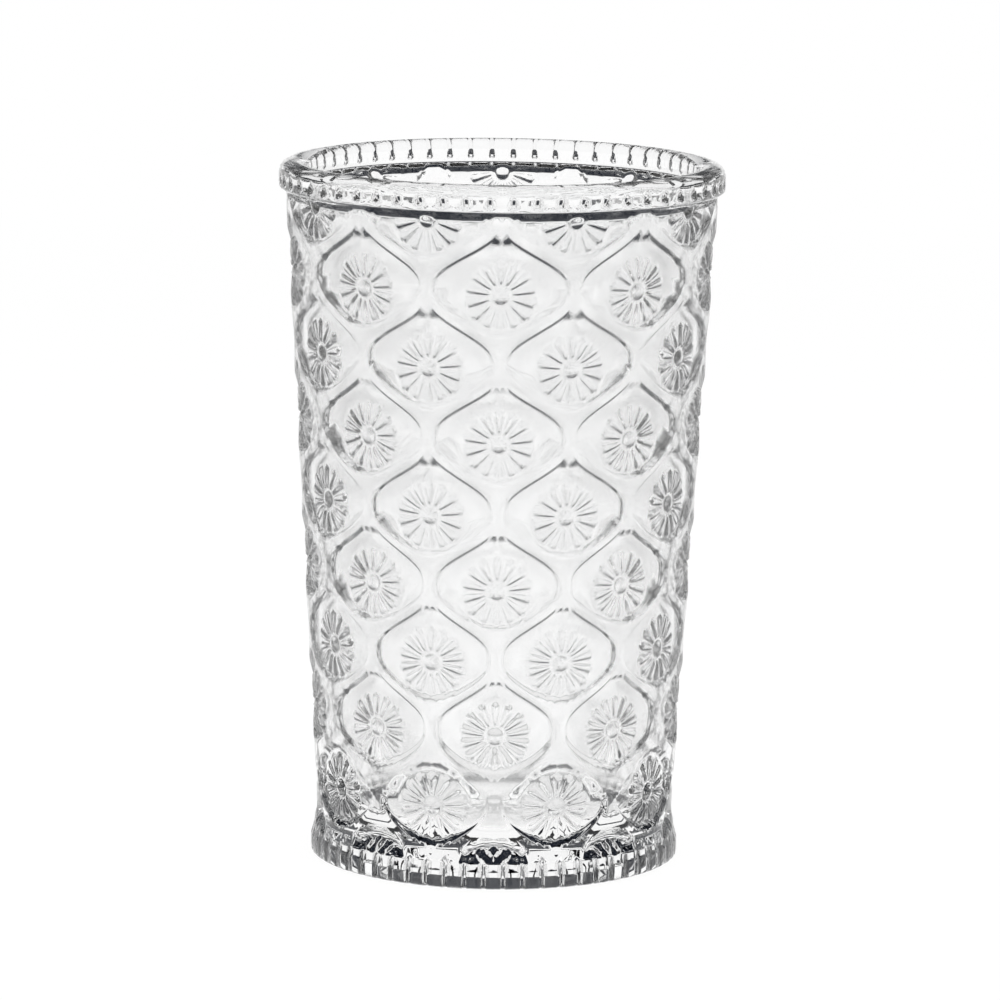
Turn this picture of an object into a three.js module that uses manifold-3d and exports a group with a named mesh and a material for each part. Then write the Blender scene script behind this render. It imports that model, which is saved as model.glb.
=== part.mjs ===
// Pressed glass highball tumbler: a tapered cup with a raised ogee trellis and a daisy in each mesh,
// a beaded band round the rim and a beaded foot. Millimetres, +Z up, origin at the middle of the foot.
import * as THREE from "three";
import { mergeVertices } from "three/addons/utils/BufferGeometryUtils.js";
import Module from "manifold-3d";

const wasm = await Module();
wasm.setup();

// Cup
const HEIGHT = 134;
const WALL_TOP_RADIUS = 40.3; // plain outside, just under the rim band
const WALL_FOOT_RADIUS = 33.3; // plain outside, level with the floor of the cup
const WALL_TOP_THICKNESS = 3.2;
const WALL_FOOT_THICKNESS = 4;
const BASE_THICKNESS = 8; // table to the floor of the cup
const FLOOR_CORNER = 3; // round inside, between floor and wall

// Rim
const RIM_BAND_HEIGHT = 5.6; // beads and lip together
const LIP_HEIGHT = 1.9; // plain lip above the beads
const LIP_SETBACK = 0.7; // lip inside the crests of the beads
const LIP_INNER_DROP = 1.5; // where the round of the lip runs into the inside
const RIM_BEAD_DEPTH = 2.2;

// Foot
const FOOT_CORE_RADIUS = 33.6;
const FOOT_BEAD_DEPTH = 1.8;
const FOOT_BEAD_LIFT = 0.3; // the beads hang clear of the table
const NECK_HEIGHT = 4.2; // waist above the foot beads
const NECK_RADIUS = 34.3;
const REST_RADIUS = 29; // inner edge of the flat ring that it stands on
const HOLLOW_EDGE = 1.5; // slope from that ring into the hollow underneath
const HOLLOW_DEPTH = 1.2;

// Beads of the rim and of the foot
const BEAD_COUNT = 60;
const BEAD_ROUND = 0.9;
const BEAD_GROOVE = 0.8;

// Trellis and daisies
const COLUMNS = 9;
const ROW_PITCH = 14;
const RIB_WIDTH = 1.8;
const RIB_HEIGHT = 0.6;
const STEM_OFFSET = 0.5; // two ribs run this far each side of their common stem
const DAISY_MARGIN = 0.3; // petal tip to the edge of its row
const PETALS = 14;
const PETAL_ROOT = 2.7; // radius where neighbouring petals meet
const PETAL_SLOPE = 1.8; // fall of a petal from its crest to its tip
const PETAL_HEIGHT = 0.55;
const BOSS_HEIGHT = 0.6;

// Fineness and fits
const HALF_COLUMN_FACETS = 3; // straight lengths round half a column
const RIB_STEPS = 4; // straight lengths in the rib from one row to the next
const ROUND_STEPS = 3; // straight lengths in a quarter round
const RIB_SEAT = 0.12; // trellis to wall
const BEAD_SEAT = 0.05; // bead rings to what they go round
const TRIM_MARGIN = 10; // how far trimming tools reach past what they trim
const WELD = 1e-4; // corners closer than this are one corner

// Clear glass
const GLASS_COLOUR = 0xf1f5f4;
const GLASS_OPACITY = 0.35;
const FIRE_POLISH = 0.02; // roughness of the lip, remelted after pressing
const MOULD_FINISH = 0.05; // roughness where the mould touched

const FACETS_PER_COLUMN = 2 * HALF_COLUMN_FACETS;
const FACETS = COLUMNS * FACETS_PER_COLUMN;
const COLUMN_ANGLE = (2 * Math.PI) / COLUMNS;
const BAND_FLOOR = HEIGHT - RIM_BAND_HEIGHT;
const BEAD_TOP = HEIGHT - LIP_HEIGHT;
const INNER_TOP_RADIUS = WALL_TOP_RADIUS - WALL_TOP_THICKNESS;
const INNER_FOOT_RADIUS = WALL_FOOT_RADIUS - WALL_FOOT_THICKNESS;
const DAISY_RADIUS = ROW_PITCH / 2 - DAISY_MARGIN;
const ROWS = Math.ceil((BAND_FLOOR - BASE_THICKNESS) / ROW_PITCH + 1 / 2);
const TAPER = (WALL_TOP_RADIUS - WALL_FOOT_RADIUS) / (BAND_FLOOR - BASE_THICKNESS);
const INNER_TAPER = (INNER_TOP_RADIUS - INNER_FOOT_RADIUS) / (BAND_FLOOR - BASE_THICKNESS);

// Outside and inside of the tapered wall at a height, without the relief.
const wallRadius = (z) => WALL_FOOT_RADIUS + TAPER * (z - BASE_THICKNESS);
const innerRadius = (z) => INNER_FOOT_RADIUS + INNER_TAPER * (z - BASE_THICKNESS);

// The rows of daisies hang from the underside of the rim band, and every second row is turned half a column.
const rowHeight = (row) => BAND_FLOOR - row * ROW_PITCH;
const daisyAngle = (column, row) => (column + (row % 2 ? 0 : 1 / 2)) * COLUMN_ANGLE;

// A point of the cup by its turn from the front, its height and its radius.
function onCup(turn, z, radius) {
  return [radius * Math.sin(turn), -radius * Math.cos(turn), z];
}

// A quarter ellipse about a centre, from one angle to another in degrees, as [radius, height] points.
function quarter(centre, across, up, from, to) {
  const points = [];
  for (let i = 0; i <= ROUND_STEPS; i++) {
    const angle = THREE.MathUtils.degToRad(from + ((to - from) * i) / ROUND_STEPS);
    points.push([centre[0] + across * Math.cos(angle), centre[1] + up * Math.sin(angle)]);
  }
  return points;
}

// A turned solid from a section of [radius, height] points, taken anticlockwise.
function turned(section, facets = FACETS) {
  const points = section.map(([radius, z]) => new THREE.Vector2(radius, z));
  return new THREE.LatheGeometry(points, facets).rotateX(Math.PI / 2);
}

// A geometry as a solid that can be joined and cut, and back.
function solidFrom(geometry) {
  const bare = geometry.clone();
  bare.deleteAttribute("normal");
  bare.deleteAttribute("uv");
  const merged = mergeVertices(bare, WELD);
  const vertProperties = merged.attributes.position.array;
  const triVerts = new Uint32Array(merged.index.array);
  return new wasm.Manifold(new wasm.Mesh({ numProp: 3, vertProperties, triVerts }));
}

function geometryFrom(solid) {
  const { vertProperties, triVerts } = solid.getMesh();
  const geometry = new THREE.BufferGeometry();
  geometry.setAttribute("position", new THREE.BufferAttribute(vertProperties, 3));
  geometry.setIndex(new THREE.BufferAttribute(triVerts, 1));
  geometry.computeVertexNormals();
  return geometry;
}

function geometryOf(corners) {
  const geometry = new THREE.BufferGeometry();
  geometry.setAttribute("position", new THREE.Float32BufferAttribute(corners.flat(), 3));
  return mergeVertices(geometry, WELD);
}

// The slice of space between the floor of the cup and the underside of the rim band.
function wallSlice() {
  const reach = WALL_TOP_RADIUS + RIM_BEAD_DEPTH + TRIM_MARGIN;
  const section = [[0, BASE_THICKNESS], [reach, BASE_THICKNESS], [reach, BAND_FLOOR], [0, BAND_FLOOR]];
  return solidFrom(turned(section));
}

// Solid bottom of the cup: flat resting ring, hollow underside, waist over the foot beads and flare.
function thickBase() {
  const coreRadius = FOOT_CORE_RADIUS - BEAD_SEAT;
  const flare = quarter([NECK_RADIUS, BASE_THICKNESS], NECK_RADIUS - WALL_FOOT_RADIUS,
    BASE_THICKNESS - NECK_HEIGHT, 270, 180);
  return turned([
    [0, HOLLOW_DEPTH],
    [REST_RADIUS - HOLLOW_EDGE, HOLLOW_DEPTH],
    [REST_RADIUS, 0],
    [coreRadius, 0],
    [coreRadius, NECK_HEIGHT],
    ...flare,
    [0, BASE_THICKNESS],
  ]);
}

// A ring of upright beads. Every second meridian lies in the groove between two beads.
function beadRing(coreRadius, depth, low, high) {
  const crest = coreRadius + depth;
  const section = [[coreRadius, low], [crest, low + BEAD_ROUND], [crest, high - BEAD_ROUND], [coreRadius, high]];
  const ring = turned([...section, section[0]], 2 * BEAD_COUNT);
  const position = ring.attributes.position;
  for (let i = 0; i < position.count; i++) {
    const meridian = Math.floor(i / (section.length + 1));
    const radius = Math.hypot(position.getX(i), position.getY(i));
    const isCrest = radius > coreRadius + depth / 2;
    if (meridian % 2 === 0 || !isCrest) continue;
    const inward = (crest - BEAD_GROOVE) / radius;
    position.setXY(i, position.getX(i) * inward, position.getY(i) * inward);
  }
  return ring;
}

// The corners of one daisy in the flat, with its height: petal tips, crests, the roots between and the boss.
function daisyPoints() {
  const polar = (radius, step, lift) => {
    const angle = (2 * Math.PI * step) / PETALS - Math.PI / 2;
    return new THREE.Vector3(radius * Math.cos(angle), radius * Math.sin(angle), lift);
  };
  const petals = [...Array(PETALS).keys()];
  return {
    tips: petals.map((i) => polar(DAISY_RADIUS, i, 0)),
    crests: petals.map((i) => polar(DAISY_RADIUS - PETAL_SLOPE, i, PETAL_HEIGHT)),
    roots: petals.map((i) => polar(PETAL_ROOT, i + 1 / 2, 0)),
    boss: new THREE.Vector3(0, 0, BOSS_HEIGHT),
  };
}

// One mesh of the pattern in the flat: a panel a column wide and a row high, with the daisy raised on it.
function daisyPanel(width) {
  const { tips, crests, roots, boss } = daisyPoints();
  const frame = [];
  for (let i = 0; i <= FACETS_PER_COLUMN; i++) {
    frame.push(new THREE.Vector3(width * (i / FACETS_PER_COLUMN - 1 / 2), -ROW_PITCH / 2, 0));
  }
  for (let i = FACETS_PER_COLUMN; i >= 0; i--) {
    frame.push(new THREE.Vector3(width * (i / FACETS_PER_COLUMN - 1 / 2), ROW_PITCH / 2, 0));
  }
  const outline = tips.flatMap((tip, i) => [tip, roots[i]]);
  const corners = [...frame, ...outline];
  const field = THREE.ShapeUtils.triangulateShape(frame, [outline]);
  const faces = field.map((face) => face.map((corner) => corners[corner]));
  tips.forEach((tip, i) => {
    const before = roots[(i + PETALS - 1) % PETALS];
    faces.push([before, tip, crests[i]], [tip, roots[i], crests[i]], [before, crests[i], roots[i]]);
    faces.push([before, roots[i], boss]);
  });
  return faces.map(([a, b, c]) => {
    const turn = (b.x - a.x) * (c.y - a.y) - (b.y - a.y) * (c.x - a.x);
    return turn > 0 ? [a, b, c] : [a, c, b];
  });
}

// Wall of the cup: the panels of every row wrapped on the taper, trimmed at both ends and bored out.
function tumblerWall() {
  const corners = [];
  for (let row = 0; row < ROWS; row++) {
    const radius = wallRadius(rowHeight(row));
    const panel = daisyPanel(COLUMN_ANGLE * radius);
    for (let column = 0; column < COLUMNS; column++) {
      const middle = daisyAngle(column, row);
      for (const { x, y, z } of panel.flat()) {
        const height = rowHeight(row) + y;
        corners.push(onCup(middle + x / radius, height, wallRadius(height) + z));
      }
    }
  }
  const ends = [rowHeight(0) + ROW_PITCH / 2, rowHeight(ROWS - 1) - ROW_PITCH / 2];
  for (let i = 0; i < FACETS; i++) {
    const [from, to] = [i, i + 1].map((facet) => (facet / FACETS) * 2 * Math.PI);
    const [top, low] = ends;
    corners.push([0, 0, top], onCup(from, top, wallRadius(top)), onCup(to, top, wallRadius(top)));
    corners.push([0, 0, low], onCup(to, low, wallRadius(low)), onCup(from, low, wallRadius(low)));
  }
  const above = HEIGHT + TRIM_MARGIN;
  const cornerRadius = innerRadius(BASE_THICKNESS + FLOOR_CORNER);
  const cornerCentre = [cornerRadius - FLOOR_CORNER, BASE_THICKNESS + FLOOR_CORNER];
  const bore = turned([
    [0, BASE_THICKNESS - TRIM_MARGIN],
    [cornerCentre[0], BASE_THICKNESS - TRIM_MARGIN],
    ...quarter(cornerCentre, FLOOR_CORNER, FLOOR_CORNER, 270, 360),
    [innerRadius(above), above],
    [0, above],
  ]);
  const plain = solidFrom(geometryOf(corners)).intersect(wallSlice());
  return geometryFrom(plain.subtract(solidFrom(bore)));
}

// How far across from its stem a rib has gone, from 0 to 1, at a share of the way from row to row.
function ogee(share) {
  return share ** 3 * (6 * share ** 2 - 15 * share + 10);
}

// One rib of the trellis: a ridge that swings half a column out and back, row by row, down the wall.
function rib(column, side) {
  const place = (step) => {
    const row = Math.floor(step / RIB_STEPS);
    const share = ogee(step / RIB_STEPS - row);
    const z = rowHeight(step / RIB_STEPS);
    const stem = STEM_OFFSET / wallRadius(z);
    const across = row % 2 ? 1 - share : share;
    return { turn: column * COLUMN_ANGLE + side * (stem + across * (COLUMN_ANGLE / 2 - 2 * stem)), z };
  };
  const sections = [];
  for (let step = -1; step <= ROWS * RIB_STEPS; step++) {
    const [before, here, after] = [step - 1, step, step + 1].map(place);
    const radius = wallRadius(here.z);
    const along = new THREE.Vector2((after.turn - before.turn) * radius, after.z - before.z).normalize();
    const aside = (shift) => [here.turn - (along.y * shift) / radius, here.z + along.x * shift];
    const edge = ([turn, z], lift) => onCup(turn, z, wallRadius(z) + lift);
    sections.push([
      edge(aside(-RIB_WIDTH / 2), RIB_SEAT),
      edge(aside(0), RIB_HEIGHT),
      edge(aside(RIB_WIDTH / 2), RIB_SEAT),
    ]);
  }
  const corners = [];
  const last = sections.length - 1;
  for (let i = 0; i < last; i++) {
    for (let j = 0; j < 3; j++) {
      const [a, b] = [sections[i][j], sections[i][(j + 1) % 3]];
      const [c, d] = [sections[i + 1][j], sections[i + 1][(j + 1) % 3]];
      corners.push(a, c, b, b, c, d);
    }
  }
  corners.push(...sections[0]);
  corners.push(sections[last][0], sections[last][2], sections[last][1]);
  return solidFrom(geometryOf(corners));
}

// The whole trellis: ribs in mirrored pairs that share a stem wherever they touch.
function ogeeTrellis() {
  let net = null;
  for (let column = 0; column < COLUMNS; column++) {
    for (const side of [1, -1]) {
      const next = rib(column, side);
      net = net ? net.add(next) : next;
    }
  }
  return geometryFrom(net.intersect(wallSlice()));
}

// Plain lip over the rim beads, with the core that the beads go round.
function rimLip() {
  const coreRadius = WALL_TOP_RADIUS - BEAD_SEAT;
  const lipRadius = WALL_TOP_RADIUS + RIM_BEAD_DEPTH - LIP_SETBACK;
  const crownRadius = (lipRadius + INNER_TOP_RADIUS) / 2;
  const shoulder = [crownRadius, BEAD_TOP];
  const inside = [crownRadius, HEIGHT - LIP_INNER_DROP];
  const section = [
    [INNER_TOP_RADIUS, BAND_FLOOR],
    [coreRadius, BAND_FLOOR],
    [coreRadius, BEAD_TOP],
    ...quarter(shoulder, lipRadius - crownRadius, LIP_HEIGHT, 0, 90),
    ...quarter(inside, crownRadius - INNER_TOP_RADIUS, LIP_INNER_DROP, 90, 180).slice(1),
  ];
  return turned([...section, section[0]]);
}

// Each feature of the pressing is a named mesh with its own clear glass.
const tumbler = new THREE.Group();
function addFeature(name, geometry, roughness) {
  const glass = new THREE.MeshStandardMaterial({
    color: GLASS_COLOUR,
    roughness,
    metalness: 0,
    transparent: true,
    opacity: GLASS_OPACITY,
  });
  const mesh = new THREE.Mesh(geometry, glass);
  mesh.name = name;
  tumbler.add(mesh);
}

addFeature("thick_base", thickBase(), MOULD_FINISH);
const footBeads = beadRing(FOOT_CORE_RADIUS, FOOT_BEAD_DEPTH, FOOT_BEAD_LIFT, NECK_HEIGHT);
addFeature("foot_bead_ring", footBeads, MOULD_FINISH);
addFeature("tumbler_wall", tumblerWall(), MOULD_FINISH);
addFeature("ogee_trellis", ogeeTrellis(), MOULD_FINISH);
const rimBeads = beadRing(WALL_TOP_RADIUS, RIM_BEAD_DEPTH, BAND_FLOOR, BEAD_TOP);
addFeature("rim_bead_band", rimBeads, MOULD_FINISH);
addFeature("rim_lip", rimLip(), FIRE_POLISH);

export default tumbler;
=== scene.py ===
import math

import bpy
from mathutils import Matrix, Vector
from mathutils.geometry import delaunay_2d_cdt


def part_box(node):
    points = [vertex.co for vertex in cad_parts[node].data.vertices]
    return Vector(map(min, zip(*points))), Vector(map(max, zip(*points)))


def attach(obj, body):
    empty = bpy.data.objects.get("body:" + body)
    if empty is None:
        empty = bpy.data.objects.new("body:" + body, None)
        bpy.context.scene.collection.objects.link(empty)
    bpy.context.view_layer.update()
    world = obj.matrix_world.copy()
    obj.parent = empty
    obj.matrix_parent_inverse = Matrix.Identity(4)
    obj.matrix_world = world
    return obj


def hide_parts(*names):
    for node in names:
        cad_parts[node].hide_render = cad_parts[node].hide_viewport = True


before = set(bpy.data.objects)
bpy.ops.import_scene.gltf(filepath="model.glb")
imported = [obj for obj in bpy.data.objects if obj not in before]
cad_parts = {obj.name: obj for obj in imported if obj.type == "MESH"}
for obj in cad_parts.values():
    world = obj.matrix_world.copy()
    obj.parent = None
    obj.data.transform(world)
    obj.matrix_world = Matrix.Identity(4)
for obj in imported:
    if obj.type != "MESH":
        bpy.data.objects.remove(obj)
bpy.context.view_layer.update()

# Patterned wall.
# The tapered wall of the tumbler is clear glass. An iron mould presses the pattern on its outside:
# a trellis of ogee ribs with a daisy in each mesh. One column of it is modelled here, in millimetres.
MM = 0.001
COLUMNS = 9
HALF_TURN = math.pi / COLUMNS
WALL_TOP_RADIUS = 40.3
WALL_FOOT_RADIUS = 33.3
CUP_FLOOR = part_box("tumbler_wall")[0].z / MM
BAND_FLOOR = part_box("tumbler_wall")[1].z / MM
PATTERN_FLOOR = 5.3
FLARE_TOP = 9.0
FLARE = 1.2
ROW_PITCH = 14.0
LAST_ROW = 9
TOP_FILLET = 1.6
TOP_FILLET_RISE = 1.05
LOW_FILLET = 1.0
LOW_FILLET_RISE = 0.45

# Ribs: two of them share each stem, and a web of glass fills the fork where they part.
RIB_HALF_WIDTH = 1.35
RIB_CREST = 0.4
RIB_RISE = 0.95
STEM_OFFSET = 0.5
WEB_UNDER = 8.1
WEB_UNDER_ROUND = 11.0
WEB_OVER = 9.9
WEB_OVER_ROUND = 16.0
LOW_WEB_OVER = 7.8
LOW_WEB_OVER_ROUND = 7.0
LOW_WEB_ROW = 8

# Daisies: each is a domed boss and a ring of narrow petals, a little under the middle of its mesh.
DAISY_DROP = 1.0
PETALS = 14
PETAL_ROOT = 2.1
PETAL_RAMP = 1.3
PETAL_TIP = 6.7
TIP_LENGTH = 1.2
TIP_ROUND = 0.7
PETAL_RISE = 0.68
BOSS_RADIUS = 1.65
BOSS_RISE = 0.8

# Spacing of the points: rings by radius and points per petal, and lines by distance from a rib.
BOSS_RINGS = {0.55: 1, 1.1: 2, 1.4: 2, 1.65: 2, 2.1: 2}
PETAL_RINGS = {2.6: 4, 3.3: 4, 4.3: 4, 5.2: 4, 5.8: 4, 6.25: 4, 6.65: 4, 7.0: 4}
RIB_LINES = (-1.4, -0.88, -0.4, 0.4, 0.88, 1.4)
RIB_STEP = 1.2
AXIS_STEP = 1.0
EDGE_STEPS = 40
FILLET_DROPS = (0.45, 0.85, 1.3)
FILLET_STEP = 1.2
WEB_GRID = 0.9
FIELD_GRID = 1.8
EDGE_MARGIN = 0.35
FIELD_GAP = 0.75
LEAST_GAP = 0.22
FACING_STEP = 0.12
KEEP_INSIDE = 1
JOIN_GAP = 1e-5


# Radius of the plain wall, which flares a little above the foot.
def wall_radius(height):
    taper = (WALL_TOP_RADIUS - WALL_FOOT_RADIUS) / (BAND_FLOOR - CUP_FLOOR)
    flare = max(0.0, FLARE_TOP - height) / (FLARE_TOP - PATTERN_FLOOR)
    return WALL_FOOT_RADIUS + taper * (height - CUP_FLOOR) + FLARE * flare**2


# Distance round the wall from the middle of the column to its edge.
def half_width(height):
    return HALF_TURN * wall_radius(height)


def row_height(row):
    return BAND_FLOOR - row * ROW_PITCH


def daisy_height(row):
    return row_height(row) - DAISY_DROP


# Distance of the rib from the middle of the column at a height, and its slant there.
def rib_line(height):
    step = (BAND_FLOOR - height) / ROW_PITCH
    row = math.floor(step)
    share = step - row
    swing = share**3 * (6 * share**2 - 15 * share + 10)
    pace = 30 * share**2 * (1 - share) ** 2 / ROW_PITCH
    reach = half_width(height) - 2 * STEM_OFFSET
    if row % 2:
        return STEM_OFFSET + (1 - swing) * reach, pace * reach
    return STEM_OFFSET + swing * reach, -pace * reach


# Distance from the webs in the forks over and under a mesh of the trellis, less than 0 on a web.
def web_distance(x, z, row):
    low = row >= LOW_WEB_ROW
    over, over_round = (LOW_WEB_OVER, LOW_WEB_OVER_ROUND) if low else (WEB_OVER, WEB_OVER_ROUND)
    if z > 0:
        return (over - x**2 / (2 * over_round) - z) / math.hypot(1, x / over_round)
    return (WEB_UNDER - x**2 / (2 * WEB_UNDER_ROUND) + z) / math.hypot(1, x / WEB_UNDER_ROUND)


# Rise of the trellis at a point of the column: a flat crest with rounded flanks.
def trellis(x, height):
    across, slant = rib_line(height)
    lean = math.hypot(1, slant)
    step = (BAND_FLOOR - height) / ROW_PITCH
    if x < across:
        row = 2 * round((step - 1) / 2) + 1
        web = web_distance(x, height - row_height(row), row)
    else:
        row = 2 * round(step / 2)
        web = web_distance(half_width(height) - x, height - row_height(row), row)
    near = max(0.0, min(abs(x - across) / lean, web + RIB_CREST) - RIB_CREST)
    share = min(1.0, near / (RIB_HALF_WIDTH - RIB_CREST))
    return RIB_RISE * (1 - share**2 * (3 - 2 * share))


# Rise of a daisy at a point measured from its middle.
def daisy(x, z):
    radius = math.hypot(x, z)
    if radius >= PETAL_TIP:
        return 0.0
    if radius < BOSS_RADIUS:
        return BOSS_RISE * (1 - (radius / BOSS_RADIUS) ** 2)
    turn = math.atan2(x, -z) / (2 * math.pi) * PETALS
    aside = abs(turn - round(turn))
    ramp = min(1.0, max(0.0, (radius - PETAL_ROOT) / PETAL_RAMP))
    tip = PETAL_TIP - TIP_ROUND * (2 * aside) ** 2
    fall = max(0.0, radius - (tip - TIP_LENGTH)) / TIP_LENGTH
    crest = math.cos(math.pi * aside) ** 2
    return PETAL_RISE * crest * math.sin(ramp * math.pi / 2) * max(0.0, 1 - fall**2)


# Rise of the whole pattern over the plain wall, which runs into plain fillets at the rim and the foot.
def relief(x, height):
    x = abs(x)
    step = (BAND_FLOOR - height) / ROW_PITCH
    odd = 2 * round((step - 1) / 2) + 1
    even = 2 * round(step / 2)
    rise = trellis(x, height)
    rise += daisy(x, height - daisy_height(odd))
    rise += daisy(half_width(height) - x, height - daisy_height(even))
    top = max(0.0, 1 - (BAND_FLOOR - height) / TOP_FILLET) ** 2
    low = max(0.0, 1 - (height - PATTERN_FLOOR) / LOW_FILLET) ** 2
    return rise * (1 - top) * (1 - low) + TOP_FILLET_RISE * top + LOW_FILLET_RISE * low


# Points that no two of lie too close together, found again by the cell of a grid that they lie in.
class Points:
    def __init__(self):
        self.places = []
        self.cells = {}

    def crowded(self, x, z, gap):
        reach = math.ceil(gap / FIELD_GRID)
        column, row = math.floor(x / FIELD_GRID), math.floor(z / FIELD_GRID)
        for i in range(column - reach, column + reach + 1):
            for j in range(row - reach, row + reach + 1):
                for other in self.cells.get((i, j), ()):
                    if math.hypot(other[0] - x, other[1] - z) < gap:
                        return True
        return False

    def add(self, x, z, gap=0.0):
        if gap and self.crowded(x, z, gap):
            return None
        cell = (math.floor(x / FIELD_GRID), math.floor(z / FIELD_GRID))
        self.cells.setdefault(cell, []).append((x, z))
        self.places.append((x, z))
        return len(self.places) - 1


# Heights of the points on an upright line through the middles of the daisies of every second row.
def axis_heights(first_row):
    heights = []
    for row in range(first_row, LAST_ROW + 1, 2):
        for ring in [0.0, *BOSS_RINGS, *PETAL_RINGS]:
            heights += {daisy_height(row) + ring, daisy_height(row) - ring}
    inside = [h for h in heights if PATTERN_FLOOR + EDGE_MARGIN < h < BAND_FLOOR - EDGE_MARGIN]
    heights = sorted([PATTERN_FLOOR, *inside, BAND_FLOOR])
    filled = []
    for low, high in zip(heights, heights[1:]):
        parts = max(1, round((high - low) / AXIS_STEP))
        filled += [low + (high - low) * i / parts for i in range(parts)]
    return filled + [BAND_FLOOR]


# The outline of the column, anticlockwise from its lower left corner.
def column_outline(points):
    edge = [(2 * i / EDGE_STEPS - 1) for i in range(EDGE_STEPS + 1)]
    sides = axis_heights(0)
    places = [(share * half_width(PATTERN_FLOOR), PATTERN_FLOOR) for share in edge]
    places += [(half_width(height), height) for height in sides[1:-1]]
    places += [(-share * half_width(BAND_FLOOR), BAND_FLOOR) for share in edge]
    places += [(-half_width(height), height) for height in reversed(sides[1:-1])]
    return [points.add(*place) for place in places]


def inside_column(x, z):
    if not PATTERN_FLOOR + EDGE_MARGIN < z < BAND_FLOOR - EDGE_MARGIN:
        return False
    return abs(x) < half_width(z) - EDGE_MARGIN / 2


# Rings of points round the middle of each daisy.
def add_daisies(points):
    for row in range(LAST_ROW + 1):
        middles = (0,) if row % 2 else (-1, 1)
        for ring, spokes in {**BOSS_RINGS, **PETAL_RINGS}.items():
            for spoke in range(spokes * PETALS):
                angle = 2 * math.pi * spoke / (spokes * PETALS)
                z = daisy_height(row) - ring * math.cos(angle)
                for middle in middles:
                    x = middle * half_width(z) + ring * math.sin(angle)
                    if abs(x) > LEAST_GAP / 2 and inside_column(x, z):
                        points.add(x, z, LEAST_GAP)


# Lines of points along both ribs. The pairs of points that follow each other become edges of the mesh.
def add_ribs(points):
    lines = []
    height = BAND_FLOOR - EDGE_MARGIN
    last = {}
    while height > PATTERN_FLOOR + EDGE_MARGIN:
        across, slant = rib_line(height)
        lean = math.hypot(1, slant)
        for aside in RIB_LINES:
            x, z = across + aside / lean, height - aside * slant / lean
            for side in (-1, 1):
                kept = None
                if x > LEAST_GAP and inside_column(x, z):
                    kept = points.add(side * x, z, LEAST_GAP)
                if kept is not None and last.get((side, aside)) is not None:
                    lines.append((last[side, aside], kept))
                last[side, aside] = kept
        height -= RIB_STEP / lean
    return lines


# Rows of points along the fillet under the rim.
def add_fillet(points):
    for drop in FILLET_DROPS:
        z = BAND_FLOOR - drop
        steps = round(half_width(z) / FILLET_STEP)
        for step in range(1 - steps, steps):
            x = step / steps * half_width(z)
            if inside_column(x, z):
                points.add(x, z, 2 * LEAST_GAP)


# Triangular grids of points: a fine one on the ribs and webs, and a coarse one where there is still room.
def add_field(points):
    for grid in (WEB_GRID, FIELD_GRID):
        rows = int((BAND_FLOOR - PATTERN_FLOOR) / (grid * math.sqrt(3) / 2))
        for row in range(rows):
            z = PATTERN_FLOOR + (row + 0.5) * grid * math.sqrt(3) / 2
            steps = int(half_width(z) / grid) + 1
            for step in range(-steps, steps + 1):
                x = (step + row % 2 / 2) * grid
                if not inside_column(x, z):
                    continue
                if grid == FIELD_GRID or trellis(abs(x), z) > 0:
                    points.add(x, z, FIELD_GAP * grid)


# A mesh from points and faces in millimetres.
def millimetre_mesh(name, places, faces):
    mesh = bpy.data.meshes.new(name)
    mesh.from_pydata([Vector(place) * MM for place in places], [], faces)
    return bpy.data.objects.new(name, mesh)


# A point of the cup by its turn from the front, its radius and its height.
def on_cup(turn, radius, height):
    return radius * math.sin(turn), -radius * math.cos(turn), height


# A point of the patterned wall, by its turn from the middle of its column and its height.
def on_wall(turn, height):
    radius = wall_radius(height)
    return on_cup(turn, radius + relief(turn * radius, height), height)


# Direction in which the patterned wall faces there.
def wall_facing(turn, height):
    aside = FACING_STEP / wall_radius(height)
    across = Vector(on_wall(turn + aside, height)) - Vector(on_wall(turn - aside, height))
    up = Vector(on_wall(turn, height + FACING_STEP)) - Vector(on_wall(turn, height - FACING_STEP))
    return across.cross(up).normalized()


# Gives the points of the pattern in a finished mesh their exact facing.
def face_pattern(mesh):
    column_turn = 2 * HALF_TURN
    facings = []
    for vertex in mesh.vertices:
        x, y, height = vertex.co / MM
        facing = mesh.vertex_normals[vertex.index].vector
        on_pattern = PATTERN_FLOOR + LEAST_GAP < height < BAND_FLOOR - LEAST_GAP
        if on_pattern and math.hypot(x, y) > wall_radius(height) - EDGE_MARGIN:
            turn = math.atan2(x, -y)
            column = column_turn * round(turn / column_turn)
            facing = Matrix.Rotation(column, 3, "Z") @ wall_facing(turn - column, height)
        facings.append(facing)
    mesh.normals_split_custom_set_from_vertices(facings)


def wall_column():
    points = Points()
    outline = column_outline(points)
    for height in axis_heights(1)[1:-1]:
        points.add(0.0, height)
    add_daisies(points)
    lines = add_ribs(points)
    add_fillet(points)
    add_field(points)
    widest = half_width(BAND_FLOOR)
    flat = [Vector((x / half_width(height) * widest, height)) for x, height in points.places]
    corners, _, faces, *_ = delaunay_2d_cdt(flat, lines, [outline], KEEP_INSIDE, JOIN_GAP, False)
    places = [on_wall(x / widest * HALF_TURN, height) for x, height in corners]
    return millimetre_mesh("wall_column", places, faces)


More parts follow.
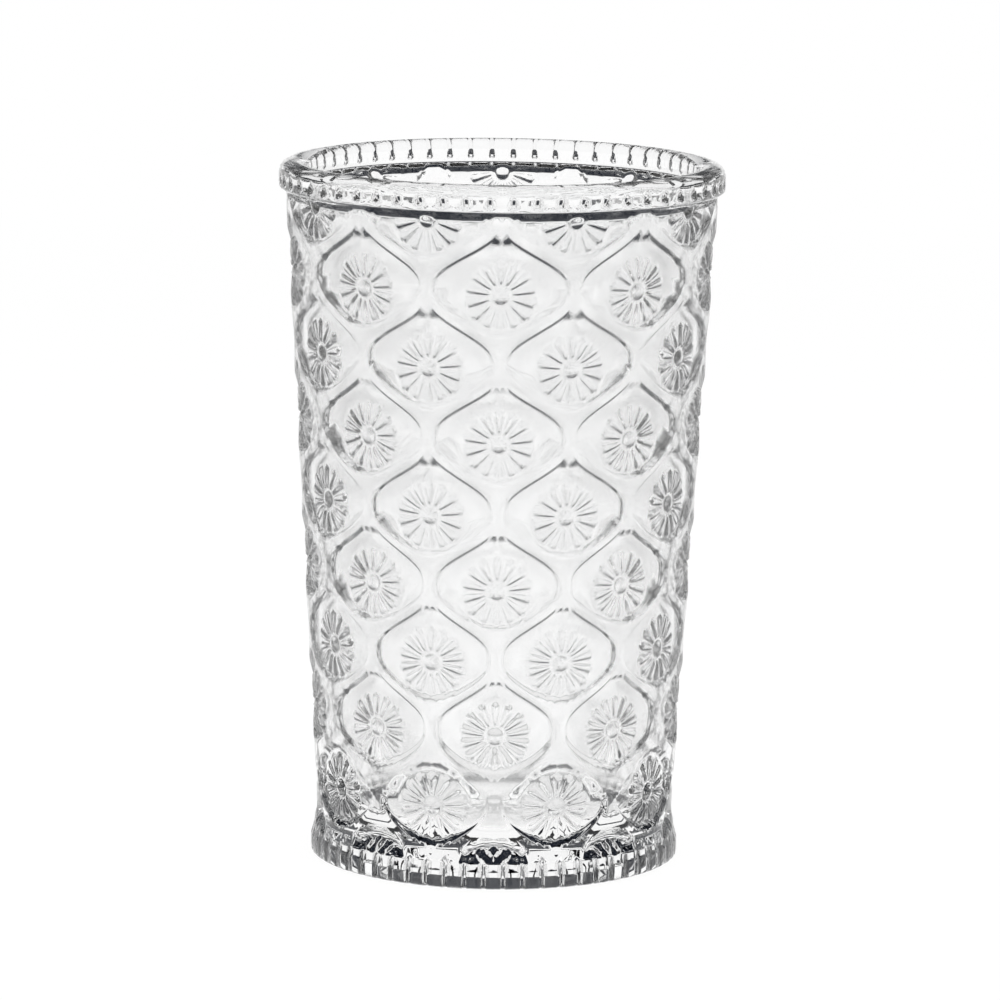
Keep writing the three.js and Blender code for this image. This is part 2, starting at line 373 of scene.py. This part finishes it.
# Rim.
# The rim is a band of upright beads under a plain rounded lip, which is fire polished after pressing.
# One bead's slice of it runs from the top of the wall over the lip and down the smooth inside to the
# middle of the cup's floor.
BEADS = 60
SLICE_TURN = 2 * math.pi / BEADS
EDGE_PARTS = EDGE_STEPS * COLUMNS // BEADS
EDGE_SHARES = [2 * part / EDGE_PARTS - 1 for part in range(EDGE_PARTS + 1)]
BEAD_SHARES = [-1, -0.89, -0.85, -0.8, -0.73, -0.4, 0, 0.4, 0.73, 0.8, 0.85, 0.89, 1]
INSIDE_SHARES = [-1, -1 / 3, 1 / 3, 1]
FLOOR_SHARES = [-1, 1]
MIDDLE = [0]
PAST_EDGE = 2
ARC_STEPS = 5
RIM_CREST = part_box("rim_bead_band")[1].x / MM
RIM_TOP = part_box("rim_lip")[1].z / MM

# Underside of the band, which turns up into the beads through a small round.
UNDERSIDE_RISE = 0.95
UNDERSIDE_ROUND = 0.43
UNDERSIDE_TURN = 58

# Grooves between the beads: each is deepest near its foot and runs out upward.
BEAD_GROOVE = 1.15
GROOVE_START = 0.72
GROOVE_END = 0.89
BEAD_CROWN = 0.12
GROOVE_FOOT = BAND_FLOOR + 1.4
GROOVE_DEEPEST = GROOVE_FOOT + 0.4
GROOVE_TOP = GROOVE_DEEPEST + 1.68
RUNOUT_STEPS = 4

# Lip, and the inside of the cup with its rounded corner and slightly domed floor.
LIP_OUTER_RADIUS = 42.4
LIP_FOOT = RIM_TOP - 1.8
LIP_START = 8
CROWN_RADIUS = 39.5
LIP_INNER_DROP = 1.9
INNER_TOP_RADIUS = 37.1
INNER_FOOT_RADIUS = 29.3
INSIDE_LEVELS = 8
FLOOR_CORNER = 7.0
FLOOR_DOME = 0.6
FLOOR_RINGS = (0.85, 0.65, 0.45, 0.25)


# Points of an arc of an ellipse about a middle, from one angle to another in degrees.
def arc(middle, across, up, start, end):
    points = []
    for step in range(ARC_STEPS + 1):
        angle = math.radians(start + (end - start) * step / ARC_STEPS)
        points.append((middle[0] + across * math.cos(angle), middle[1] + up * math.sin(angle)))
    return points


# Share of the groove's depth at a share of the way from a bead's middle to its edge.
def bead_depth(share):
    into = min(1.0, max(0.0, (abs(share) - GROOVE_START) / (GROOVE_END - GROOVE_START)))
    return BEAD_CROWN * share**2 + (1 - BEAD_CROWN) * into**2 * (3 - 2 * into)


# One bead's slice of a ring, from rows of radius, height, groove depth and shares of the way across.
def bead_slice(name, rows):
    places, faces, last = [], [], None
    for radius, height, groove, shares in rows:
        row = [(len(places) + i, share) for i, share in enumerate(shares)]
        for share in shares:
            place = on_cup(share * SLICE_TURN / 2, radius - groove * bead_depth(share), height)
            places.append(place)
        if last:
            faces += strip(last, row)
        last = row
    return millimetre_mesh(name, places, faces)


# Faces between two rows of points, which may have different numbers of points.
def strip(low, high):
    if len(low) == len(high):
        return [(low[i][0], low[i + 1][0], high[i + 1][0], high[i][0]) for i in range(len(low) - 1)]
    faces = []
    i = j = 0
    while i < len(low) - 1 or j < len(high) - 1:
        next_low = low[i + 1][1] if i < len(low) - 1 else PAST_EDGE
        next_high = high[j + 1][1] if j < len(high) - 1 else PAST_EDGE
        if next_low <= next_high:
            faces.append((low[i][0], low[i + 1][0], high[j][0]))
            i += 1
        else:
            faces.append((low[i][0], high[j + 1][0], high[j][0]))
            j += 1
    return faces


def rim_slice():
    band_edge = WALL_TOP_RADIUS + TOP_FILLET_RISE
    rows = [(band_edge, BAND_FLOOR, 0.0, EDGE_SHARES)]
    round_middle = (RIM_CREST - UNDERSIDE_ROUND, BAND_FLOOR + UNDERSIDE_RISE)
    for radius, height in arc(round_middle, UNDERSIDE_ROUND, UNDERSIDE_ROUND, -UNDERSIDE_TURN, 0):
        rows.append((radius, height, 0.0, BEAD_SHARES))
    rows.append((RIM_CREST, GROOVE_FOOT, 0.0, BEAD_SHARES))
    rows.append((RIM_CREST, (GROOVE_FOOT + GROOVE_DEEPEST) / 2, BEAD_GROOVE / 2, BEAD_SHARES))
    for step in range(RUNOUT_STEPS + 1):
        share = step / RUNOUT_STEPS
        height = GROOVE_DEEPEST + share * (GROOVE_TOP - GROOVE_DEEPEST)
        rows.append((RIM_CREST, height, BEAD_GROOVE * (1 - share), BEAD_SHARES))
    lip_middle = (CROWN_RADIUS, LIP_FOOT)
    lip_reach = LIP_OUTER_RADIUS - CROWN_RADIUS
    for radius, height in arc(lip_middle, lip_reach, RIM_TOP - LIP_FOOT, LIP_START, 90):
        rows.append((radius, height, 0.0, EDGE_SHARES))
    inner_middle = (CROWN_RADIUS, RIM_TOP - LIP_INNER_DROP)
    inner_reach = CROWN_RADIUS - INNER_TOP_RADIUS
    for radius, height in arc(inner_middle, inner_reach, LIP_INNER_DROP, 90, 180)[1:]:
        rows.append((radius, height, 0.0, INSIDE_SHARES))
    taper = (INNER_TOP_RADIUS - INNER_FOOT_RADIUS) / (BAND_FLOOR - CUP_FLOOR)
    corner_height = CUP_FLOOR + FLOOR_CORNER
    for level in range(INSIDE_LEVELS):
        height = BAND_FLOOR + (corner_height - BAND_FLOOR) * level / INSIDE_LEVELS
        rows.append((INNER_FOOT_RADIUS + taper * (height - CUP_FLOOR), height, 0.0, INSIDE_SHARES))
    floor_radius = INNER_FOOT_RADIUS + taper * FLOOR_CORNER - FLOOR_CORNER
    for radius, height in arc((floor_radius, corner_height), FLOOR_CORNER, FLOOR_CORNER, 0, -90):
        rows.append((radius, height, 0.0, INSIDE_SHARES))
    for share in FLOOR_RINGS:
        dome = FLOOR_DOME * (1 - share**2)
        rows.append((share * floor_radius, CUP_FLOOR + dome, 0.0, FLOOR_SHARES))
    rows.append((0.0, CUP_FLOOR + FLOOR_DOME, 0.0, MIDDLE))
    return bead_slice("rim_slice", rows)


# Foot.
# The foot is a ring of upright beads round the solid base, pressed in one with it. It stands on a flat
# ring round a shallow hollow. One bead's slice of it runs from the middle of the underside out to the
# beads and up to the foot of the wall.
FOOT_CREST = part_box("foot_bead_ring")[1].x / MM
FOOT_GROOVE = 0.7
REST_INNER = 29.0
REST_OUTER = 33.4
HOLLOW_DEPTH = 1.1
HOLLOW_RINGS = (0.15, 0.3, 0.45, 0.6, 0.75, 0.88)
HOLLOW_EDGE = 1.6
EDGE_RINGS = (-0.05, 0, 0.05, 0.5, 0.95, 1, 1.05)
FOOT_ROUND = 0.5
FOOT_ROUND_START = -75
SHOULDER = 2.2
SHOULDER_STEPS = 5


def foot_slice():
    rows = [(0.0, HOLLOW_DEPTH, 0.0, MIDDLE)]
    for share in HOLLOW_RINGS:
        rows.append((share * (REST_INNER - HOLLOW_EDGE), HOLLOW_DEPTH, 0.0, FLOOR_SHARES))
    for share in EDGE_RINGS:
        height = HOLLOW_DEPTH * (1 - min(1, max(0, share)))
        rows.append((REST_INNER - HOLLOW_EDGE * (1 - share), height, 0.0, INSIDE_SHARES))
    rows.append(((REST_INNER + REST_OUTER) / 2, 0.0, 0.0, INSIDE_SHARES))
    rows.append((REST_OUTER, 0.0, 0.0, BEAD_SHARES))
    round_reach = FOOT_CREST - REST_OUTER
    for radius, height in arc((REST_OUTER, FOOT_ROUND), round_reach, FOOT_ROUND, FOOT_ROUND_START, 0):
        share = (radius - REST_OUTER) / round_reach
        rows.append((radius, height, FOOT_GROOVE * share, BEAD_SHARES))
    neck = wall_radius(PATTERN_FLOOR) + LOW_FILLET_RISE
    shoulder_foot = PATTERN_FLOOR - SHOULDER
    rows.append((FOOT_CREST, (FOOT_ROUND + shoulder_foot) / 2, FOOT_GROOVE, BEAD_SHARES))
    for step in range(SHOULDER_STEPS):
        share = 1 - step / SHOULDER_STEPS
        radius = neck + share * (FOOT_CREST - neck)
        rows.append((radius, PATTERN_FLOOR - share * SHOULDER, FOOT_GROOVE * share, BEAD_SHARES))
    rows.append((neck, PATTERN_FLOOR, 0.0, EDGE_SHARES))
    return bead_slice("foot_slice", rows)


# Pressing.
# The tumbler is one pressing of clear soda-lime glass: columns of the wall and slices of rim and foot
# are turned round the axis and welded into one closed skin. The glass is colourless, a little uneven
# where the mould touched it, and clearer near the rim and the foot.
WELD = 0.002
GLASS_TINT = (0.999, 1, 1, 1)
GLASS_IOR = 1.52
SHADOW_TINT = (0.9, 0.9, 0.89, 1)
MOULD_ROUGHNESS = 0.15
UNEVEN_ROUGHNESS = 0.06
POLISHED_ROUGHNESS = 0.01
RIM_POLISH_FOOT = BAND_FLOOR - 2.4
FOOT_POLISH_TOP = 26.0
FOOT_POLISH_FULL = 14.0
RIPPLE_SCALE = 90.0
RIPPLE_DETAIL = 2.0
RIPPLE_STRENGTH = 0.1
RIPPLE_DEPTH = 0.4


# A socket of a node tree. Sums and products of sockets and numbers add Math nodes to its tree.
class Wire:
    def __init__(self, tree, socket=None):
        self.tree = tree
        self.socket = socket

    # A new node of a type, with its settings made first and its sockets then filled or linked.
    def node(self, kind, settings, sockets, output=0):
        made = self.tree.nodes.new(kind)
        for name, value in settings.items():
            setattr(made, name, value)
        for name, value in sockets.items():
            for one in value if isinstance(value, list) else [value]:
                if isinstance(one, Wire):
                    self.tree.links.new(one.socket, made.inputs[name])
                else:
                    made.inputs[name].default_value = one
        return None if output is None else Wire(self.tree, made.outputs[output])

    def maths(self, operation, first, second):
        return self.node("ShaderNodeMath", {"operation": operation}, {0: first, 1: second})

    def __add__(self, other):
        return self.maths("ADD", self, other)

    def __radd__(self, other):
        return self.maths("ADD", other, self)

    def __sub__(self, other):
        return self.maths("SUBTRACT", self, other)

    def __rsub__(self, other):
        return self.maths("SUBTRACT", other, self)

    def __mul__(self, other):
        return self.maths("MULTIPLY", self, other)

    def __rmul__(self, other):
        return self.maths("MULTIPLY", other, self)

    def __truediv__(self, other):
        return self.maths("DIVIDE", self, other)


def clear_glass():
    material = bpy.data.materials.new("clear_glass")
    material.use_nodes = True
    tree = material.node_tree
    tree.nodes.clear()
    start = Wire(tree)
    place = start.node("ShaderNodeTexCoord", {}, {}, "Object")
    height = start.node("ShaderNodeSeparateXYZ", {}, {"Vector": place}, "Z")
    ripple = start.node("ShaderNodeTexNoise", {}, {
        "Vector": place,
        "Scale": RIPPLE_SCALE,
        "Detail": RIPPLE_DETAIL,
    })
    rim_polish = start.node("ShaderNodeMapRange", {}, {
        "Value": height,
        "From Min": RIM_POLISH_FOOT * MM,
        "From Max": BAND_FLOOR * MM,
    })
    foot_polish = start.node("ShaderNodeMapRange", {}, {
        "Value": height,
        "From Min": FOOT_POLISH_TOP * MM,
        "From Max": FOOT_POLISH_FULL * MM,
    })
    polish = rim_polish + foot_polish
    moulded = MOULD_ROUGHNESS + UNEVEN_ROUGHNESS * ripple
    surface = start.node("ShaderNodeBump", {}, {
        "Strength": RIPPLE_STRENGTH,
        "Distance": RIPPLE_DEPTH * MM,
        "Height": ripple,
    })
    glass = start.node("ShaderNodeBsdfPrincipled", {}, {
        "Base Color": GLASS_TINT,
        "IOR": GLASS_IOR,
        "Roughness": moulded * (1 - polish) + POLISHED_ROUGHNESS * polish,
        "Transmission Weight": 1.0,
        "Normal": surface,
    })
    clear = start.node("ShaderNodeBsdfTransparent", {}, {"Color": SHADOW_TINT})
    shadow = start.node("ShaderNodeLightPath", {}, {}, "Is Shadow Ray")
    mixed = start.node("ShaderNodeMixShader", {}, {0: shadow, 1: glass, 2: clear})
    start.node("ShaderNodeOutputMaterial", {}, {"Surface": mixed}, None)
    return material


# The tree that turns each slice round the axis as often as it fits and welds them all.
def pressing_tree(material):
    tree = bpy.data.node_groups.new("pressing", "GeometryNodeTree")
    sockets = {}
    for name in ("Wall column", "Rim slice", "Foot slice"):
        sockets[name] = tree.interface.new_socket(name, in_out="INPUT", socket_type="NodeSocketObject")
    for name in ("Columns", "Beads"):
        sockets[name] = tree.interface.new_socket(name, in_out="INPUT", socket_type="NodeSocketInt")
    sockets["Weld"] = tree.interface.new_socket("Weld", in_out="INPUT", socket_type="NodeSocketFloat")
    tree.interface.new_socket("Tumbler", in_out="OUTPUT", socket_type="NodeSocketGeometry")
    given = tree.nodes.new("NodeGroupInput")
    start = Wire(tree)

    def turned(slice_name, count_name):
        count = Wire(tree, given.outputs[count_name])
        shape = Wire(tree, given.outputs[slice_name])
        one = start.node("GeometryNodeObjectInfo", {}, {"Object": shape}, "Geometry")
        places = start.node("GeometryNodePoints", {}, {"Count": count})
        turn = start.node("GeometryNodeInputIndex", {}, {}) * (2 * math.pi) / count
        turned_by = start.node("ShaderNodeCombineXYZ", {}, {"Z": turn})
        return start.node("GeometryNodeInstanceOnPoints", {}, {
            "Points": places,
            "Instance": one,
            "Rotation": turned_by,
        })

    wall = turned("Wall column", "Columns")
    rim = turned("Rim slice", "Beads")
    foot = turned("Foot slice", "Beads")
    joined = start.node("GeometryNodeJoinGeometry", {}, {"Geometry": [wall, rim, foot]})
    real = start.node("GeometryNodeRealizeInstances", {}, {"Geometry": joined})
    weld = Wire(tree, given.outputs["Weld"])
    closed = start.node("GeometryNodeMergeByDistance", {}, {"Geometry": real, "Distance": weld})
    smooth = start.node("GeometryNodeSetShadeSmooth", {}, {"Geometry": closed, "Shade Smooth": True})
    glazed = start.node("GeometryNodeSetMaterial", {}, {"Geometry": smooth, "Material": material})
    start.node("NodeGroupOutput", {}, {"Tumbler": glazed}, None)
    return tree, sockets


def press(name, material):
    tree, sockets = pressing_tree(material)
    slices = {"Wall column": wall_column(), "Rim slice": rim_slice(), "Foot slice": foot_slice()}
    values = {**slices, "Columns": COLUMNS, "Beads": BEADS, "Weld": WELD * MM}
    mould = bpy.data.objects.new(name, bpy.data.meshes.new(name))
    collection = bpy.context.scene.collection
    for piece in (mould, *slices.values()):
        collection.objects.link(piece)
    modifier = mould.modifiers.new("pressing", "NODES")
    modifier.node_group = tree
    for socket_name, value in values.items():
        modifier[sockets[socket_name].identifier] = value
    evaluated = mould.evaluated_get(bpy.context.evaluated_depsgraph_get())
    mesh = bpy.data.meshes.new_from_object(evaluated)
    mould.modifiers.remove(modifier)
    mould.data = mesh
    face_pattern(mesh)
    for piece in slices.values():
        bpy.data.objects.remove(piece)
    return mould


tumbler = press("pressed_tumbler", clear_glass())
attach(tumbler, "root")
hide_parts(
    "thick_base", "foot_bead_ring", "tumbler_wall", "ogee_trellis", "rim_bead_band", "rim_lip"
)

# Floor.
# A plain white studio floor that runs out of sight on every side. Most of its white is an even glow.
# Round the glass the rest is ordinary matt white, so that the glass casts a faint shadow. In metres.
FLOOR_RADIUS = 12.0
FLOOR_SIDES = 64
FLOOR_DROP = 0.0002
MATT_WHITE = (0.9, 0.9, 0.9, 1)
GLOW_WHITE = (1, 1, 1, 1)
FLOOR_GLOW = 0.86
MATT_RADIUS = 0.25
GLOW_RADIUS = 1.0


def studio_floor():
    ring = [2 * math.pi * side / FLOOR_SIDES for side in range(FLOOR_SIDES)]
    places = [(FLOOR_RADIUS * math.cos(a), FLOOR_RADIUS * math.sin(a), -FLOOR_DROP) for a in ring]
    mesh = bpy.data.meshes.new("studio_floor")
    mesh.from_pydata(places, [], [list(range(FLOOR_SIDES))])
    floor = bpy.data.objects.new("studio_floor", mesh)
    bpy.context.scene.collection.objects.link(floor)
    material = bpy.data.materials.new("studio_floor")
    material.use_nodes = True
    material.node_tree.nodes.clear()
    start = Wire(material.node_tree)
    matt = start.node("ShaderNodeBsdfDiffuse", {}, {"Color": MATT_WHITE})
    glow = start.node("ShaderNodeEmission", {}, {"Color": GLOW_WHITE, "Strength": 1.0})
    place = start.node("ShaderNodeTexCoord", {}, {}, "Object")
    distance = start.node("ShaderNodeVectorMath", {"operation": "LENGTH"}, {0: place}, "Value")
    glowing = start.node("ShaderNodeMapRange", {}, {
        "Value": distance,
        "From Min": MATT_RADIUS,
        "From Max": GLOW_RADIUS,
        "To Min": FLOOR_GLOW,
        "To Max": 1.0,
    })
    mixed = start.node("ShaderNodeMixShader", {}, {0: glowing, 1: matt, 2: glow})
    start.node("ShaderNodeOutputMaterial", {}, {"Surface": mixed}, None)
    mesh.materials.append(material)
    return floor


studio_floor()

# Studio light.
# One soft lamp, which glass doesn't mirror, lights the floor in a dim room. The room shows white behind
# the glass. Through the glass it is dark from a little over the horizon, so that the pattern's flanks
# draw dark lines.
ROOM_COLOUR = (0.014, 0.017, 0.025, 1)
WHITE_TOP = 4.5
DARK_START = 8.5
LAMP_SIZE = 1.6
LAMP_HEIGHT = 2.4
LAMP_POWER = 80.0


def studio_light():
    world = bpy.data.worlds.new("studio")
    bpy.context.scene.world = world
    world.use_nodes = True
    world.node_tree.nodes.clear()
    start = Wire(world.node_tree)
    eye = start.node("ShaderNodeLightPath", {}, {}, "Is Camera Ray")
    direction = start.node("ShaderNodeTexCoord", {}, {}, "Generated")
    height = start.node("ShaderNodeSeparateXYZ", {}, {"Vector": direction}, "Z")
    over = start.node("ShaderNodeMapRange", {"interpolation_type": "SMOOTHSTEP"}, {
        "Value": height,
        "From Min": math.sin(math.radians(WHITE_TOP)),
        "From Max": math.sin(math.radians(DARK_START)),
    })
    white = start.node("ShaderNodeBackground", {}, {"Color": GLOW_WHITE, "Strength": 1.0})
    room = start.node("ShaderNodeBackground", {}, {"Color": ROOM_COLOUR, "Strength": 1.0})
    light = start.node("ShaderNodeMixShader", {}, {0: over * (1 - eye), 1: white, 2: room})
    start.node("ShaderNodeOutputWorld", {}, {"Surface": light}, None)
    lamp_data = bpy.data.lights.new("overhead_lamp", "AREA")
    lamp_data.size = LAMP_SIZE
    lamp_data.energy = LAMP_POWER
    lamp = bpy.data.objects.new("overhead_lamp", lamp_data)
    lamp.location = (0, 0, LAMP_HEIGHT)
    lamp.visible_glossy = False
    lamp.visible_transmission = False
    bpy.context.scene.collection.objects.link(lamp)


studio_light()

# Camera.
# A long lens a little over a metre in front of the glass. It looks slightly down on it, and is a hair
# off level.
CAMERA_PLACE = (0, -1.1043, 0.2595)
CAMERA_LENS = 210.08
CAMERA_SENSOR = 36.0
CAMERA_PITCH = 9.811
CAMERA_ROLL = 0.762
CAMERA_YAW = 0.0185


def photo_camera():
    pitch, roll, yaw = (math.radians(a) for a in (CAMERA_PITCH, CAMERA_ROLL, CAMERA_YAW))
    turned = Matrix.Rotation(-yaw, 3, "Z") @ Matrix.Rotation(math.pi / 2 - pitch, 3, "X")
    data = bpy.data.cameras.new("photo_camera")
    data.lens = CAMERA_LENS
    data.sensor_width = CAMERA_SENSOR
    camera = bpy.data.objects.new("photo_camera", data)
    camera.matrix_world = (turned @ Matrix.Rotation(roll, 3, "Z")).to_4x4()
    camera.location = CAMERA_PLACE
    bpy.context.scene.collection.objects.link(camera)
    bpy.context.scene.camera = camera


photo_camera()
bpy.context.scene.view_settings.view_transform = "Standard"
